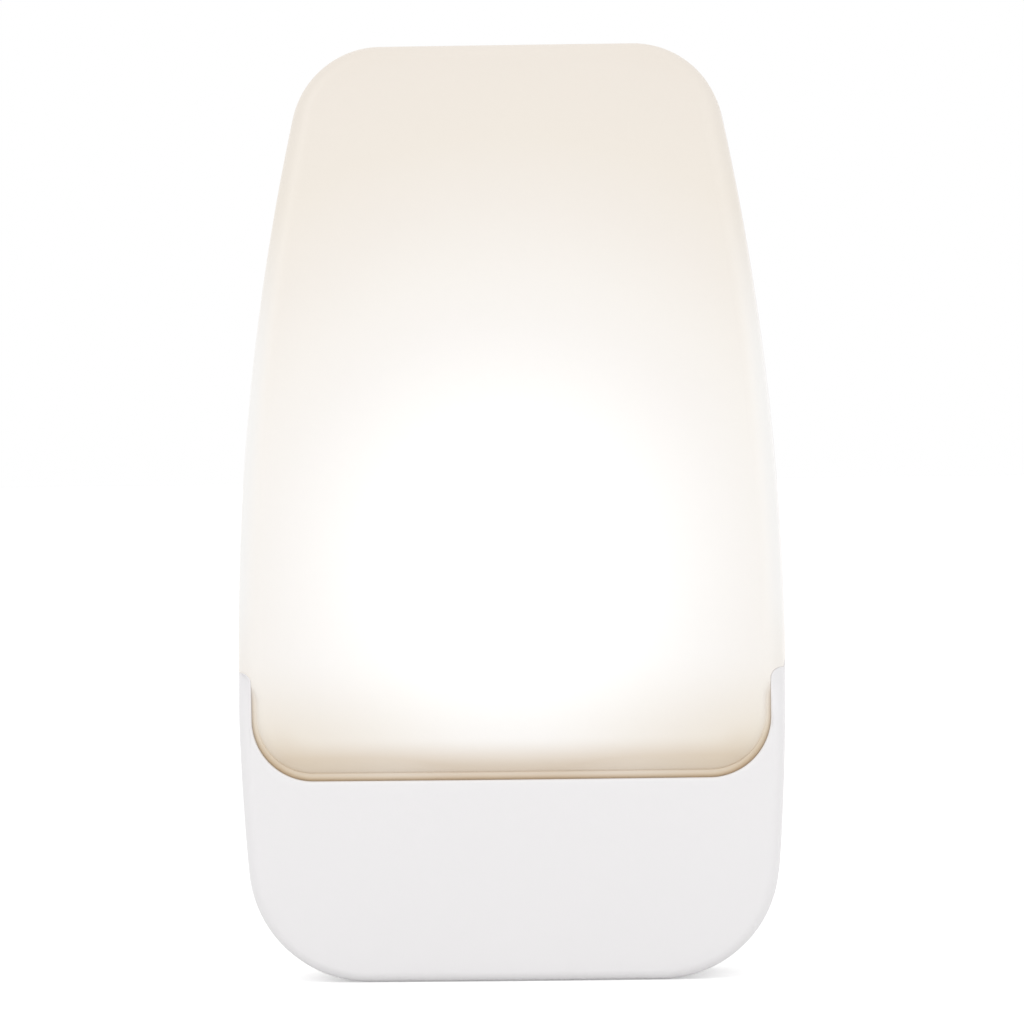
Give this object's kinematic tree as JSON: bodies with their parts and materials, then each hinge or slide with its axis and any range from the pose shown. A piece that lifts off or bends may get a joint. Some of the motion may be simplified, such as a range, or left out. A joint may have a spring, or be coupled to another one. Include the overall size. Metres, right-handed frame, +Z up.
{
  "type": "plug-in night light",
  "caption": "Slim plug-in night light: tall frosted diffuser with rounded corners, held in a white base with side prongs, on a flat-blade wall plug.",
  "frame": {"origin": "centre of the plug, midway between the two blades, on the flat back face that meets the wall plate", "axes": "+X to the viewer's right as the light is seen from the room, +Y out of the back into the wall along the blades, +Z up the light"},
  "size_m": [0.0604, 0.0475, 0.104],
  "materials": {
    "cover_plastic": "soft white moulded plastic with a fine satin grain",
    "diffuser_plastic": "frosted milky diffuser, lit from inside",
    "housing_plastic": "white moulded plastic, fine grain",
    "reflector_plastic": "bright white sheet",
    "board_laminate": "green solder mask",
    "led_plastic": "white moulded LED package",
    "led_phosphor": "yellow phosphor, lit",
    "chip_ceramic": "dark coated chips",
    "capacitor_box": "yellow moulded box",
    "capacitor_sleeve": "dark blue shrink sleeve",
    "moulded_epoxy": "black moulded epoxy",
    "fusible_coating": "green lacquer",
    "resistor_coating": "tan lacquer",
    "diode_glass": "orange-red glass",
    "photocell_ceramic": "brown coated ceramic disc",
    "window_plastic": "clear smoked window",
    "plated_brass": "nickel-plated brass",
    "black_insulation": "black wire insulation",
    "white_insulation": "white wire insulation",
    "zinc_plated_steel": "zinc-plated steel"
  },
  "bodies": {
    "root": {"front_cover": "cover_plastic", "diffuser": "diffuser_plastic", "rear_housing": "housing_plastic", "reflector": "reflector_plastic", "circuit_board": "board_laminate", "led_packages": "led_plastic", "led_emitters": "led_phosphor", "chip_resistors": "chip_ceramic", "film_capacitor": "capacitor_box", "electrolytic_capacitor": "capacitor_sleeve", "bridge_rectifier": "moulded_epoxy", "fusible_resistor": "fusible_coating", "bleeder_resistor": "resistor_coating", "zener_diode": "diode_glass", "sensor_transistor": "moulded_epoxy", "photocell": "photocell_ceramic", "sensor_window": "window_plastic", "line_blade": "plated_brass", "neutral_blade": "plated_brass", "blade_retainer": "housing_plastic", "line_wire": "black_insulation", "neutral_wire": "white_insulation", "retainer_screws": "zinc_plated_steel", "board_screws": "zinc_plated_steel", "housing_screws": "zinc_plated_steel"}
  },
  "joints": []
}
